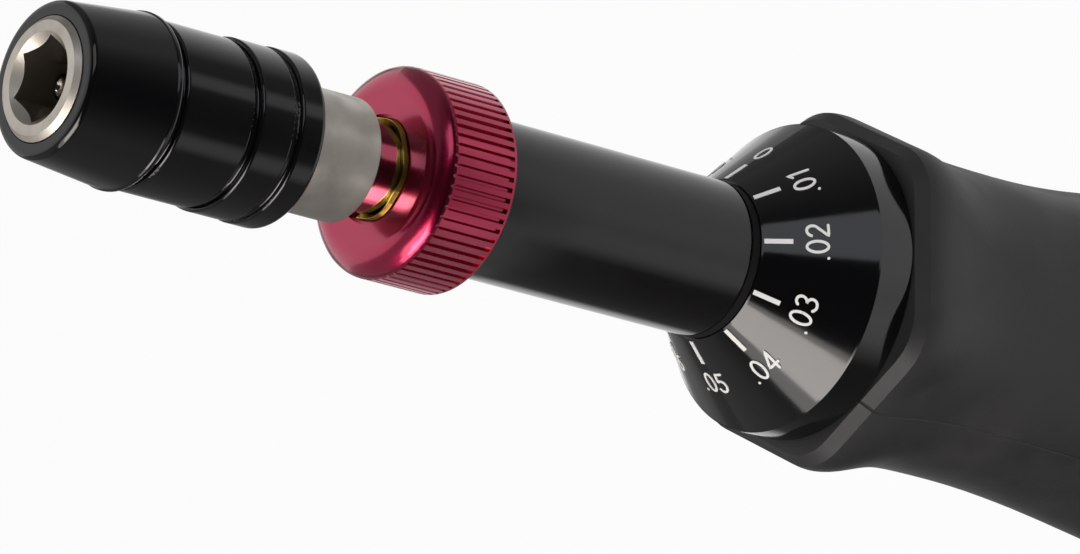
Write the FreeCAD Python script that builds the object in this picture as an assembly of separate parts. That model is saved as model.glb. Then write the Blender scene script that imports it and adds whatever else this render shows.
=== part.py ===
"""Adjustable click torque screwdriver, 1/4 in hex drive, 0.1 to 0.6 N m.

Frame: +Z runs up the tool's axis towards the bit socket, the origin is the centre of the flat butt,
and +X is the side of the setting window and of the dial's zero mark.  All lengths are millimetres.
"""
import FreeCAD
import Part
import math
import os

from FreeCAD import Vector

# --- running clearances -------------------------------------------------------------------------
SLIDE_GAP = 0.05          # radial gap of parts that slide or turn on each other
END_GAP = 0.05            # axial gap between parts that turn or slide past each other
SLOT_GAP = 0.10           # side gap of a key, pin or pointer in its slot
HEX_GAP = 0.05            # across-flats gap round a bit shank

# --- springs, drawn as a wire of flats ----------------------------------------------------------
COIL_STEPS = 16           # sections in one turn
COIL_SIDES = 8

SHORTEST_LINE = 0.0001    # shorter gaps between two roundings need no line

# --- bit socket and spindle ---------------------------------------------------------------------
HEX_SHANK = 6.35          # across flats of the bit shank
SOCKET_DEPTH = 12.0
SOCKET_MOUTH_D = 7.9      # 90 degree lead-in at the face
NOSE_D = 10.6
NOSE_CHAMFER = 0.45
NOSE_STAND_OUT = 0.5      # nose in front of the sleeve
SHAFT_D = 10.8
SHAFT_EXPOSED = 7.6       # shaft seen between the sleeve and its own shoulder
SHAFT_CHAMFER = 0.15
TAIL_D = 6.0
COLLAR_D = 12.3           # collar that stops the sleeve and carries its spring
COLLAR_WIDTH = 1.2
MAGNET_D = 6.0
MAGNET_LENGTH = 4.0

# --- quick-change sleeve ------------------------------------------------------------------------
SLEEVE_LENGTH = 23.7
SLEEVE_CAP_LENGTH = 3.24      # rear flange, up to its joint with the sleeve
SLEEVE_TRAVEL = 3.0
SLEEVE_MOUTH_D = 13.3
SLEEVE_FRONT_D = 15.0
SLEEVE_WAIST_D = 14.5
SLEEVE_RING_D = 14.9
SLEEVE_FLANGE_D = 15.1
SLEEVE_GROOVE_DEPTH = 0.45
SLEEVE_GROOVE_WIDTH = 0.65
SLEEVE_GROOVE_R = 0.2         # rounding of a groove's floor
SLEEVE_TAPER_LENGTH = 8.1     # mouth to the bead
SLEEVE_BEAD_WIDTH = 0.6
SLEEVE_BEAD_RISE = 0.1        # bead outside the end of the taper
SLEEVE_WAIST_LENGTH = 7.0
SLEEVE_CAVITY_D = 12.6
SLEEVE_LIP = 0.65             # closed lip in front of the ball ramp
SLEEVE_EDGE_R = 0.28          # rounding of the sleeve's outer edges
SLEEVE_MOUTH_R = 0.6          # rounding of its front edge
SLEEVE_REAR_R = 0.5           # rounding of its rear edge
CAP_SPIGOT_D = 13.5
CAP_SPIGOT_LENGTH = 1.9
BALL_D = 2.5
BALL_DEPTH = 5.1              # ball centre behind the nose face
BALL_LIFT = 0.4
BALL_LAND = 1.2               # plain land behind the ball ramp
RAMP_START = 0.1              # foot of the ball ramp in front of the ball's centre
SLEEVE_WIRE_D = 0.6
SLEEVE_COILS = 7

# --- hub, snap ring and lock ring ---------------------------------------------------------------
HUB_D = 8.2
HUB_NECK_D = 7.9
HUB_FLANGE_LENGTH = 2.0
HUB_INSET = 0.6               # hub's flange behind the barrel's front end
SHAFT_TO_RING = 3.5           # shaft shoulder to the ring's face
SNAP_WIRE_RADIAL = 0.62
SNAP_WIRE_AXIAL = 0.85
SNAP_RIDGE = 0.4              # height of the wire's ridge above its sides
SNAP_RIDGE_SHARES = (0.68, 0.78)  # the ridge's two edges, from the inside of the wire
SNAP_CORNER_R = 2.8
SNAP_CORNER_TURN = 30.0
SNAP_GROOVE_DEPTH = 0.25
SNAP_SPLIT = 1.3
SNAP_SPLIT_TURN = 165.0
RING_STAND = 2.25             # ring outside the barrel
RING_LENGTH = 8.3
RING_EDGE_WIDTH = 2.3         # rounded front edge, measured along the face
RING_EDGE_DEPTH = 1.6         # and along the side
RING_REAR_CHAMFER = 0.35
RING_TRAVEL = 2.0
SNAP_ROOM = 0.28              # ring's recess round the snap ring
RING_RECESS_DEPTH = 0.5
RING_WALL = 0.9
KNURL_COUNT = 64
KNURL_DEPTH = 0.32
KNURL_GROOVE_SHARE = 0.48     # groove width at its mouth as a share of the pitch
KNURL_FLOOR_SHARE = 0.4       # floor of a groove as a share of its mouth
KNURL_RUN_OUT = 0.6           # length over which a groove runs out towards the front
KNURL_FRONT_LAND = 1.25
KNURL_REAR_LAND = 0.55
KNURL_CUT = 0.2               # cutter outside the ring
LOCK_PIN_D = 1.2
LOCK_PIN_INSET = 1.0          # pin centre in front of the ring's rear face
LOCK_WIRE_D = 0.5
LOCK_COILS = 2.5

# --- barrel and drive tube ----------------------------------------------------------------------
BARREL_D = 13.9
BARREL_WALL = 1.05
BARREL_EXPOSED = 28.35        # lock ring to the seal
BARREL_UNDER_RING = 4.6
BARREL_EDGE_R = 0.3
SPIGOT_STEP = 0.45         # radial step from the barrel down to its spigot
SPIGOT_LENGTH = 18.65
SEAL_WIDTH = 0.8
WINDOW_WIDTH = 2.2
TUBE_WALL = 0.4
TUBE_FLANGE_RIM = 0.25     # friction flange's rim outside the spigot
TUBE_FLANGE_LENGTH = 1.5
TAPER_LENGTH = 1.7
CIRCLIP_WIDTH = 0.9
CIRCLIP_STAND = 1.1        # circlip outside the spigot
CIRCLIP_DEPTH = 0.4
CIRCLIP_GAP = 2.4
CIRCLIP_FROM_END = 0.65
WASHER_WIDTH = 1.4
WASHER_RIM = 0.4              # thrust washer outside the circlip
CAVITY_GAP = 0.5              # handle's cavity round the thrust washer
FRICTION_RING_LENGTH = 2.9

# --- clutch -------------------------------------------------------------------------------------
TEETH = 6
TOOTH_RISE = 0.8
CAM_CLEARANCE = 0.25       # cam inside the drive tube
CAM_BODY = 2.5
CAM_PIN_D = 1.5
THRUST_WASHER = 0.55
PLATE_BODY = 2.6
PLATE_BORE_D = 6.4
KEY_WIDTH = 2.0
KEY_LENGTH = 1.8
KEY_SINK = 0.15               # key's tip below the drive tube's skin
KEY_ANGLES = (30, 150, 270)
TOOTH_INSET = 0.12            # teeth stand inside the edges of the cam and the plate
TOOTH_ROOT = 0.4              # depth of a tooth's root in its body
TOOTH_STEPS = 6               # sections in one ramp
TOOTH_FOOT = 0.01             # height of a ramp's low end
TAIL_OVERHANG = 0.1           # spindle's tail behind the cam

# --- setting screw, nut and main spring ---------------------------------------------------------
SCREW_D = 6.0
SCREW_LEAD = 1.5
TURNS = 5
NUT_LENGTH = 8.4
POINTER_WIDTH = 1.8
POINTER_LENGTH = 1.2
POINTER_SINK = 0.2            # pointer's tip below the barrel's skin
NUT_START = 3.35              # nut's front face at the lowest setting, above the barrel shoulder
SPRING_WIRE_D = 1.3
SPRING_COILS = 7
SCREW_CLEAR = 2.0             # screw's end below the nut's front at the highest setting
SCREW_FLANGE_GAP = 0.1
SCREW_FLANGE_LENGTH = 4.0
SCREW_HEX_DEPTH = 3.0
RETAINER_LENGTH = 5.0
RETAINER_BORE_D = 8.0
RETAINER_SLOT_WIDTH = 2.0
RETAINER_SLOT_DEPTH = 1.5

# --- dial and handle ----------------------------------------------------------------------------
CONE_LENGTH = 7.8
CONE_STEP = 0.25              # cone's small end outside the barrel
RIM_D = 27.6
RIM_LENGTH = 3.8
RIM_EDGE = 0.12
DIAL_BORE_D = 16.0
DIAL_FRONT_WALL = 2.7
GRIP_LENGTH = 101.6
GRIP_CORNER_TURN = 18.0       # angle of one corner of the six-sided grip
CORE_D = 23.8
CORE_REAR_D = 19.0
CORE_SEAT_WEB = 3.0
CORE_WEB = 21.6               # front of the grip down to the screw's seat
CAP_FLANGE = 2.0
CAP_PLUG = 8.0
CAP_PLUG_WALL = 1.6
CAP_DISH_D = 12.0
CAP_DISH_DEPTH = 0.4
# grip stations by distance behind the front face: (distance, inradius, corner radius)
GRIP_FACE = (13.95, 5.0)      # inradius and corner radius of the front face
GRIP_NECK = [
    (1.1, 14.8, 6.0),
    (3.6, 14.85, 6.6),
    (6.4, 14.35, 8.2),
    (10.0, 13.85, 10.6),
    (15.0, 13.7, 12.0),
    (21.0, 13.75, 12.0),
    (28.0, 14.15, 10.8),
]
# grip stations by share of the length from the neck's end to the butt
GRIP_SWELL = [
    (0.143, 15.35, 8.6),
    (0.299, 16.6, 7.6),
    (0.462, 17.1, 7.6),
    (0.652, 16.6, 8.2),
    (0.829, 15.5, 9.2),
    (0.938, 14.6, 10.0),
]
# butt rounding by distance in front of the butt
GRIP_BUTT = [
    (1.7, 14.0, 10.4),
    (0.4, 13.4, 10.6),
    (0.0, 12.9, 10.8),
]

# --- diameters worked out from the sizes above --------------------------------------------------
BARREL_BORE_D = BARREL_D - 2 * BARREL_WALL
SPIGOT_D = BARREL_D - 2 * SPIGOT_STEP
TUBE_FLANGE_D = SPIGOT_D + 2 * TUBE_FLANGE_RIM
CIRCLIP_D = SPIGOT_D + 2 * CIRCLIP_STAND
WASHER_D = CIRCLIP_D + 2 * WASHER_RIM
CORE_CAVITY_D = WASHER_D + 2 * CAVITY_GAP
CONE_SMALL_D = BARREL_D + 2 * CONE_STEP
RING_D = BARREL_D + 2 * RING_STAND
RING_RECESS_D = HUB_D + 2 * (SNAP_WIRE_RADIAL + SNAP_ROOM - SNAP_GROOVE_DEPTH)
SCREW_FLANGE_D = CORE_REAR_D - 2 * SCREW_FLANGE_GAP

# --- places along the axis, worked out from the lengths above -----------------------------------
GRIP_TOP = GRIP_LENGTH
RIM_TOP = GRIP_TOP + RIM_LENGTH
CONE_TOP = RIM_TOP + CONE_LENGTH
SEAL_LOW = CONE_TOP + END_GAP
SHOULDER = SEAL_LOW + SEAL_WIDTH
RING_REAR = SHOULDER + BARREL_EXPOSED
RING_FRONT = RING_REAR + RING_LENGTH
BARREL_FRONT = RING_REAR + BARREL_UNDER_RING
SHAFT_SHOULDER = RING_FRONT + SHAFT_TO_RING
SLEEVE_REAR = SHAFT_SHOULDER + SHAFT_EXPOSED
SLEEVE_FRONT = SLEEVE_REAR + SLEEVE_LENGTH
NOSE = SLEEVE_FRONT + NOSE_STAND_OUT

RING_FLOOR = RING_FRONT - RING_RECESS_DEPTH
RING_INNER = RING_FLOOR - RING_WALL
SNAP_LOW = RING_FLOOR + END_GAP
HUB_FRONT = SHAFT_SHOULDER - 5 * END_GAP
HUB_FLANGE_TOP = BARREL_FRONT - HUB_INSET
HUB_FLANGE_LOW = HUB_FLANGE_TOP - HUB_FLANGE_LENGTH
CAM_TOP = HUB_FLANGE_LOW - THRUST_WASHER - 2 * END_GAP
CAM_FACE = CAM_TOP - CAM_BODY
PLATE_HIGH = CAM_FACE - END_GAP
PLATE_FACE = PLATE_HIGH - TOOTH_RISE
PLATE_LOW = PLATE_FACE - PLATE_BODY
TAIL_LOW = CAM_FACE - TAIL_OVERHANG
LOCK_PIN_Z = RING_REAR + LOCK_PIN_INSET
TUBE_FRONT = HUB_FLANGE_LOW - 4 * END_GAP

SPIGOT_LOW = SHOULDER - SPIGOT_LENGTH
CIRCLIP_LOW = SPIGOT_LOW + CIRCLIP_FROM_END
CIRCLIP_HIGH = CIRCLIP_LOW + CIRCLIP_WIDTH
WASHER_LOW = CIRCLIP_HIGH + END_GAP
CORE_SHOULDER = WASHER_LOW + WASHER_WIDTH
FRICTION_TOP = SPIGOT_LOW - 4 * END_GAP
FRICTION_LOW = FRICTION_TOP - FRICTION_RING_LENGTH
TAPER_TOP = FRICTION_LOW + TAPER_LENGTH
TUBE_LOW = FRICTION_LOW - TUBE_FLANGE_LENGTH
NUT_TOP = SHOULDER + NUT_START
NUT_TRAVEL = SCREW_LEAD * TURNS
SCREW_SEAT = GRIP_TOP - CORE_WEB
SCREW_TOP = NUT_TOP + NUT_TRAVEL - SCREW_CLEAR
SPIGOT_TOP = CONE_TOP - DIAL_FRONT_WALL

CAP_FACE = SLEEVE_REAR + SLEEVE_CAP_LENGTH
COLLAR_LOW = CAP_FACE + END_GAP
COLLAR_HIGH = COLLAR_LOW + COLLAR_WIDTH
BALL_Z = NOSE - BALL_DEPTH
RAMP_LOW = BALL_Z + RAMP_START
CAVITY_HIGH = RAMP_LOW - BALL_LAND
SOCKET_FLOOR = NOSE - SOCKET_DEPTH

# --- radii --------------------------------------------------------------------------------------
SOCKET_R = (HEX_SHANK + HEX_GAP) / math.sqrt(3.0)
TUBE_OUTER_R = BARREL_BORE_D / 2 - SLIDE_GAP
TUBE_INNER_R = TUBE_OUTER_R - TUBE_WALL
CAM_D = 2 * (TUBE_INNER_R - CAM_CLEARANCE)
SLEEVE_LAND_R = NOSE_D / 2 + 2 * SLIDE_GAP
RAMP_SLOPE = BALL_LIFT / SLEEVE_TRAVEL


def disc(radius, low, high):
    """Solid cylinder about the axis between two heights."""
    return Part.makeCylinder(radius, high - low, Vector(0, 0, low))


def tube(outer, inner, low, high):
    """Plain ring about the axis between two heights."""
    return disc(outer, low, high).cut(disc(inner, low, high))


def turned(points):
    """Solid turned from a closed outline of (radius, height) or (radius, height, rounding) points."""
    return Part.Face(outline_wire(points)).revolve(Vector(0, 0, 0), Vector(0, 0, 1), 360)


def outline_wire(points):
    """Closed wire in the XZ plane whose corners are rounded where a point gives a radius."""
    places = [Vector(point[0], 0, point[1]) for point in points]
    ends = []
    arcs = []
    for i, corner in enumerate(places):
        radius = points[i][2] if len(points[i]) > 2 else 0
        if radius == 0:
            ends.append((corner, corner))
            arcs.append(None)
            continue
        back = (places[i - 1] - corner).normalize()
        ahead = (places[(i + 1) % len(places)] - corner).normalize()
        half = back.getAngle(ahead) / 2
        reach = radius / math.tan(half)
        inward = (back + ahead).normalize()
        middle = corner + inward * (radius / math.sin(half) - radius)
        ends.append((corner + back * reach, corner + ahead * reach))
        arcs.append(Part.Arc(ends[i][0], middle, ends[i][1]).toShape())
    edges = []
    for i, arc in enumerate(arcs):
        if arc is not None:
            edges.append(arc)
        start = ends[i][1]
        end = ends[(i + 1) % len(ends)][0]
        if start.distanceToPoint(end) > SHORTEST_LINE:
            edges.append(Part.makeLine(start, end))
    return Part.Wire(edges)


def block(x_low, x_high, y_low, y_high, z_low, z_high):
    """Box between two corners."""
    return Part.makeBox(x_high - x_low, y_high - y_low, z_high - z_low, Vector(x_low, y_low, z_low))


def slot(width, r_low, r_high, z_low, z_high, angle=0.0):
    """Radial box used as a slot or key, turned to its angle about the axis."""
    shape = block(r_low, r_high, -width / 2, width / 2, z_low, z_high)
    shape.rotate(Vector(0, 0, 0), Vector(0, 0, 1), angle)
    return shape


def hexagon(corner_radius, low, high):
    """Six-sided prism with one corner towards +X."""
    corners = [Vector(corner_radius * math.cos(math.radians(60 * i)),
                      corner_radius * math.sin(math.radians(60 * i)), low) for i in range(7)]
    return Part.Face(Part.makePolygon(corners)).extrude(Vector(0, 0, high - low))


def coil(mean_radius, wire, low, high, coils, top_radius=None):
    """Compression spring between two seats: octagonal wire sections lofted along a helix."""
    top_radius = top_radius or mean_radius
    rise = high - low - wire
    steps = round(coils * COIL_STEPS)
    sections = []
    for i in range(steps + 1):
        share = i / steps
        angle = 2 * math.pi * coils * share
        radius = mean_radius + (top_radius - mean_radius) * share
        height = low + wire / 2 + rise * share
        outline = []
        for k in range(COIL_SIDES + 1):
            turn = 2 * math.pi * k / COIL_SIDES
            r = radius + wire / 2 * math.cos(turn)
            outline.append(Vector(r * math.cos(angle), r * math.sin(angle),
                                  height + wire / 2 * math.sin(turn)))
        sections.append(Part.makePolygon(outline))
    return Part.makeLoft(sections, True, True)


def rounded_hexagon(height, inradius, corner_radius, turn):
    """Wire of six straight flats joined by tangent corner arcs."""
    centre_radius = (inradius - corner_radius) / math.cos(math.radians(30))
    edges = []
    last = None
    first = None
    for i in range(6):
        middle = math.radians(turn + 60 * i)
        centre = Vector(centre_radius * math.cos(middle), centre_radius * math.sin(middle), height)
        points = []
        for offset in (-30, 0, 30):
            a = middle + math.radians(offset)
            points.append(centre + Vector(corner_radius * math.cos(a), corner_radius * math.sin(a), 0))
        if last is not None:
            edges.append(Part.makeLine(last, points[0]))
        else:
            first = points[0]
        edges.append(Part.Arc(*points).toShape())
        last = points[2]
    edges.append(Part.makeLine(last, first))
    return Part.Wire(edges)


def ramp_teeth(inner, outer, root, start_height, end_height):
    """Ring of helical ramp teeth, each rising evenly from start_height to end_height."""
    pitch = 360.0 / TEETH
    wires = []
    for i in range(TOOTH_STEPS + 1):
        angle = math.radians(pitch * i / TOOTH_STEPS)
        z = start_height + (end_height - start_height) * i / TOOTH_STEPS
        c, s = math.cos(angle), math.sin(angle)
        wires.append(Part.makePolygon([
            Vector(inner * c, inner * s, root), Vector(outer * c, outer * s, root),
            Vector(outer * c, outer * s, z), Vector(inner * c, inner * s, z),
            Vector(inner * c, inner * s, root)]))
    tooth = Part.makeLoft(wires, True, False)
    teeth = []
    for i in range(TEETH):
        copy = tooth.copy()
        copy.rotate(Vector(0, 0, 0), Vector(0, 0, 1), pitch * i)
        teeth.append(copy)
    return teeth


# --- spindle group ------------------------------------------------------------------------------
def make_spindle():
    """Hex-socket spindle with its collar, exposed shaft and long tail."""
    nose_r = NOSE_D / 2
    shaft_r = SHAFT_D / 2
    tail_r = TAIL_D / 2
    body = turned([
        (0, TAIL_LOW), (tail_r, TAIL_LOW), (tail_r, SHAFT_SHOULDER),
        (shaft_r - SHAFT_CHAMFER, SHAFT_SHOULDER), (shaft_r, SHAFT_SHOULDER + SHAFT_CHAMFER),
        (shaft_r, COLLAR_LOW), (COLLAR_D / 2, COLLAR_LOW), (COLLAR_D / 2, COLLAR_HIGH),
        (nose_r, COLLAR_HIGH), (nose_r, NOSE - NOSE_CHAMFER), (nose_r - NOSE_CHAMFER, NOSE),
        (0, NOSE)])
    socket = hexagon(SOCKET_R, SOCKET_FLOOR, NOSE + 1)
    mouth_r = SOCKET_MOUTH_D / 2
    mouth = Part.makeCone(0, mouth_r + 1, mouth_r + 1, Vector(0, 0, NOSE - mouth_r))
    magnet_seat = disc(MAGNET_D / 2, SOCKET_FLOOR - MAGNET_LENGTH, SOCKET_FLOOR + 1)
    ball_hole = Part.makeCylinder(BALL_D / 2 + SLIDE_GAP / 2, NOSE_D, Vector(0, 0, BALL_Z), Vector(0, 1, 0))
    pin_hole = Part.makeCylinder(CAM_PIN_D / 2, CAM_D, Vector(-CAM_D / 2, 0, cam_pin_height()),
                                 Vector(1, 0, 0))
    return body.cut([socket, mouth, magnet_seat, ball_hole, pin_hole])


def cam_pin_height():
    """Height of the cross pin through the cam and the spindle's tail."""
    return CAM_FACE + CAM_BODY / 2


def make_bit_magnet():
    """Round magnet at the bottom of the bit socket."""
    return disc(MAGNET_D / 2, SOCKET_FLOOR - MAGNET_LENGTH, SOCKET_FLOOR)


def make_drive_cam():
    """Cam with helical ramps facing the butt, pinned to the spindle's tail."""
    inner = TAIL_D / 2
    outer = CAM_D / 2
    body = tube(outer, inner, CAM_FACE, CAM_TOP)
    teeth = ramp_teeth(inner + TOOTH_INSET, outer - TOOTH_INSET, CAM_FACE + TOOTH_ROOT,
                       CAM_FACE - TOOTH_FOOT, CAM_FACE - TOOTH_RISE)
    pin_hole = Part.makeCylinder(CAM_PIN_D / 2, CAM_D, Vector(-CAM_D / 2, 0, cam_pin_height()),
                                 Vector(1, 0, 0))
    return body.fuse(teeth).cut(pin_hole).removeSplitter()


def make_cam_pin():
    """Cross pin that ties the cam to the spindle."""
    length = CAM_D - 4 * SLIDE_GAP
    return Part.makeCylinder(CAM_PIN_D / 2, length, Vector(-length / 2, 0, cam_pin_height()),
                             Vector(1, 0, 0))


def make_thrust_washer():
    """Bronze washer between the cam and the hub."""
    low = CAM_TOP
    return tube(CAM_D / 2, TAIL_D / 2 + SLIDE_GAP, low, low + THRUST_WASHER)


# --- quick-change sleeve ------------------------------------------------------------------------
def make_chuck_sleeve():
    """Tapered sleeve with a bead, a groove, a waist and a raised ring; ball ramp inside."""
    taper_low = SLEEVE_FRONT - SLEEVE_TAPER_LENGTH
    bead_low = taper_low - SLEEVE_BEAD_WIDTH
    groove_low = bead_low - SLEEVE_GROOVE_WIDTH
    waist_low = groove_low - SLEEVE_WAIST_LENGTH
    groove2_low = waist_low - SLEEVE_GROOVE_WIDTH
    front_r = SLEEVE_FRONT_D / 2
    bead_r = front_r + SLEEVE_BEAD_RISE
    waist_r = SLEEVE_WAIST_D / 2
    ring_r = SLEEVE_RING_D / 2
    spigot_r = CAP_SPIGOT_D / 2
    groove_r = waist_r - SLEEVE_GROOVE_DEPTH
    cavity_r = SLEEVE_CAVITY_D / 2
    edge = SLEEVE_EDGE_R
    floor = SLEEVE_GROOVE_R
    ramp_high = SLEEVE_FRONT - SLEEVE_LIP
    ramp_r = SLEEVE_LAND_R + (ramp_high - RAMP_LOW) * RAMP_SLOPE
    return turned([
        (SLEEVE_LAND_R, SLEEVE_FRONT), (SLEEVE_MOUTH_D / 2, SLEEVE_FRONT, SLEEVE_MOUTH_R),
        (front_r, taper_low), (bead_r, taper_low - SLEEVE_BEAD_RISE), (bead_r, bead_low, edge),
        (groove_r, bead_low, floor), (groove_r, groove_low, floor),
        (waist_r, groove_low, edge), (waist_r, waist_low, edge / 2),
        (groove_r, waist_low, floor), (groove_r, groove2_low, floor),
        (ring_r, groove2_low, edge), (ring_r, CAP_FACE, edge / 2),
        (spigot_r, CAP_FACE), (spigot_r, CAP_FACE + CAP_SPIGOT_LENGTH),
        (cavity_r, CAP_FACE + CAP_SPIGOT_LENGTH), (cavity_r, CAVITY_HIGH),
        (SLEEVE_LAND_R, CAVITY_HIGH), (SLEEVE_LAND_R, RAMP_LOW), (ramp_r, ramp_high),
        (SLEEVE_LAND_R, ramp_high)])


def make_sleeve_cap():
    """Rear flange of the sleeve, pressed in; it rides on the shaft and stops on the collar."""
    flange_r = SLEEVE_FLANGE_D / 2
    bore_r = SHAFT_D / 2 + SLIDE_GAP
    groove_r = flange_r - SLEEVE_GROOVE_DEPTH
    groove_low = CAP_FACE - SLEEVE_GROOVE_WIDTH
    cavity_r = SLEEVE_CAVITY_D / 2
    spigot_r = CAP_SPIGOT_D / 2
    spigot_high = CAP_FACE + CAP_SPIGOT_LENGTH
    return turned([
        (bore_r, SLEEVE_REAR), (flange_r, SLEEVE_REAR, SLEEVE_REAR_R),
        (flange_r, groove_low, SLEEVE_EDGE_R), (groove_r, groove_low, SLEEVE_GROOVE_R),
        (groove_r, CAP_FACE), (spigot_r, CAP_FACE), (spigot_r, spigot_high),
        (cavity_r, spigot_high), (cavity_r, CAP_FACE), (bore_r, CAP_FACE)])


def make_sleeve_spring():
    """Spring that holds the sleeve forward, from the collar to the sleeve's inner shoulder."""
    mean = (COLLAR_D / 2 + NOSE_D / 2) / 2
    return coil(mean, SLEEVE_WIRE_D, COLLAR_HIGH, CAVITY_HIGH, SLEEVE_COILS)


def make_detent_ball():
    """Ball that holds a bit; it stands a little into the hex."""
    return Part.makeSphere(BALL_D / 2, Vector(0, NOSE_D / 2 + SLIDE_GAP - BALL_D / 2, BALL_Z))


# --- hub, snap ring and lock ring ---------------------------------------------------------------
def make_front_hub():
    """Bearing bush pressed into the barrel, with a long nose and the snap ring's groove."""
    bore_r = TAIL_D / 2 + SLIDE_GAP
    hub_r = HUB_D / 2
    groove_r = hub_r - SNAP_GROOVE_DEPTH
    neck_r = HUB_NECK_D / 2
    snap_high = SNAP_LOW + SNAP_WIRE_AXIAL
    return turned([
        (bore_r, HUB_FLANGE_LOW), (BARREL_BORE_D / 2, HUB_FLANGE_LOW),
        (BARREL_BORE_D / 2, HUB_FLANGE_TOP), (hub_r, HUB_FLANGE_TOP), (hub_r, SNAP_LOW),
        (groove_r, SNAP_LOW), (groove_r, snap_high), (neck_r, snap_high),
        (neck_r, HUB_FRONT - SHAFT_CHAMFER), (neck_r - SHAFT_CHAMFER, HUB_FRONT), (bore_r, HUB_FRONT)])


def make_snap_ring():
    """Brass wire ring bent to six soft flats in the hub's groove, ridged along its front, with a split."""
    flat_r = HUB_D / 2 - SNAP_GROOVE_DEPTH
    side_high = SNAP_LOW + SNAP_WIRE_AXIAL - SNAP_RIDGE
    inner = snap_prism(flat_r, flat_r + SNAP_WIRE_RADIAL * SNAP_RIDGE_SHARES[0], side_high)
    outer = snap_prism(flat_r + SNAP_WIRE_RADIAL, flat_r + SNAP_WIRE_RADIAL * SNAP_RIDGE_SHARES[1],
                       side_high)
    split = slot(SNAP_SPLIT, 0, HUB_D, SNAP_LOW - SNAP_SPLIT, SNAP_LOW + SNAP_SPLIT, SNAP_SPLIT_TURN)
    return outer.cut([inner, split])


def snap_prism(low_inradius, ridge_inradius, side_high):
    """Six-sided prism as high as the snap ring, drawn in or out to its ridge at the top."""
    corner = low_inradius - (HUB_D / 2 - SNAP_GROOVE_DEPTH) + SNAP_CORNER_R
    ridge_corner = ridge_inradius - low_inradius + corner
    low = rounded_hexagon(SNAP_LOW, low_inradius, corner, SNAP_CORNER_TURN)
    side = rounded_hexagon(side_high, low_inradius, corner, SNAP_CORNER_TURN)
    ridge = rounded_hexagon(SNAP_LOW + SNAP_WIRE_AXIAL, ridge_inradius, ridge_corner, SNAP_CORNER_TURN)
    return Part.makeLoft([low, side, ridge], True, True)


def make_lock_ring():
    """Knurled ring with a softly rounded face, a snap ring recess and a skirt over the barrel."""
    outer_r = RING_D / 2
    recess_r = RING_RECESS_D / 2
    bore_r = HUB_D / 2 + 2 * SLIDE_GAP
    skirt_r = BARREL_D / 2 + SLIDE_GAP
    face_reach, side_reach = ring_edge_reaches()
    face_corner = outer_r - RING_EDGE_WIDTH + face_reach
    side_corner = RING_FRONT - RING_EDGE_DEPTH + side_reach
    rounding = 1 / math.tan(math.radians(22.5))
    ring = turned([
        (recess_r, RING_FRONT), (face_corner, RING_FRONT, face_reach * rounding),
        (outer_r, side_corner, side_reach * rounding), (outer_r, RING_REAR + RING_REAR_CHAMFER),
        (outer_r - RING_REAR_CHAMFER, RING_REAR), (skirt_r, RING_REAR), (skirt_r, RING_INNER),
        (bore_r, RING_INNER), (bore_r, RING_FLOOR), (recess_r, RING_FLOOR)])
    pin_hole = Part.makeCylinder(LOCK_PIN_D / 2, RING_D, Vector(0, 0, LOCK_PIN_Z), Vector(0, 1, 0))
    return ring.cut(knurl_grooves(outer_r) + [pin_hole])


def ring_edge_reaches():
    """Lengths that the ring's two tangent roundings take of a 45 degree edge of the wanted size."""
    side = 1 + math.sqrt(2)
    share = math.sqrt(2) / (side ** 2 - 1)
    return (share * (side * RING_EDGE_WIDTH - RING_EDGE_DEPTH),
            share * (side * RING_EDGE_DEPTH - RING_EDGE_WIDTH))


def knurl_section(outer_r, depth, height):
    """Outline of one V-sided groove at a height, cut to a depth below the ring's skin."""
    mouth = math.pi * outer_r / KNURL_COUNT * KNURL_GROOVE_SHARE
    floor = mouth * KNURL_FLOOR_SHARE
    above = floor + (mouth - floor) * (depth + KNURL_CUT) / KNURL_DEPTH
    corners = [(outer_r - depth, -floor), (outer_r + KNURL_CUT, -above),
               (outer_r + KNURL_CUT, above), (outer_r - depth, floor), (outer_r - depth, -floor)]
    return Part.makePolygon([Vector(x, y, height) for x, y in corners])


def knurl_grooves(outer_r):
    """Straight V-sided grooves with flat floors, evenly spaced, that run out towards the front."""
    low = RING_REAR + KNURL_REAR_LAND
    high = RING_FRONT - KNURL_FRONT_LAND
    groove = Part.makeLoft([
        knurl_section(outer_r, KNURL_DEPTH, low),
        knurl_section(outer_r, KNURL_DEPTH, high - KNURL_RUN_OUT),
        knurl_section(outer_r, 0, high)], True, True)
    grooves = []
    for i in range(KNURL_COUNT):
        copy = groove.copy()
        copy.rotate(Vector(0, 0, 0), Vector(0, 0, 1), 360.0 * (i + 0.5) / KNURL_COUNT)
        grooves.append(copy)
    return grooves


def make_lock_pin():
    """Pin that ties the lock ring to the drive tube through the barrel's slot."""
    start = TUBE_INNER_R
    end = RING_D / 2 - KNURL_DEPTH - SLIDE_GAP
    return Part.makeCylinder(LOCK_PIN_D / 2, end - start, Vector(0, start, LOCK_PIN_Z), Vector(0, 1, 0))


def make_lock_spring():
    """Conical spring between the hub's flange and the lock ring's front wall."""
    wide = (BARREL_BORE_D - LOCK_WIRE_D) / 2 - 4 * SLIDE_GAP
    narrow = HUB_D / 2 + LOCK_WIRE_D / 2 + 6 * SLIDE_GAP
    return coil(wide, LOCK_WIRE_D, HUB_FLANGE_TOP, RING_INNER, LOCK_COILS, narrow)


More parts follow.
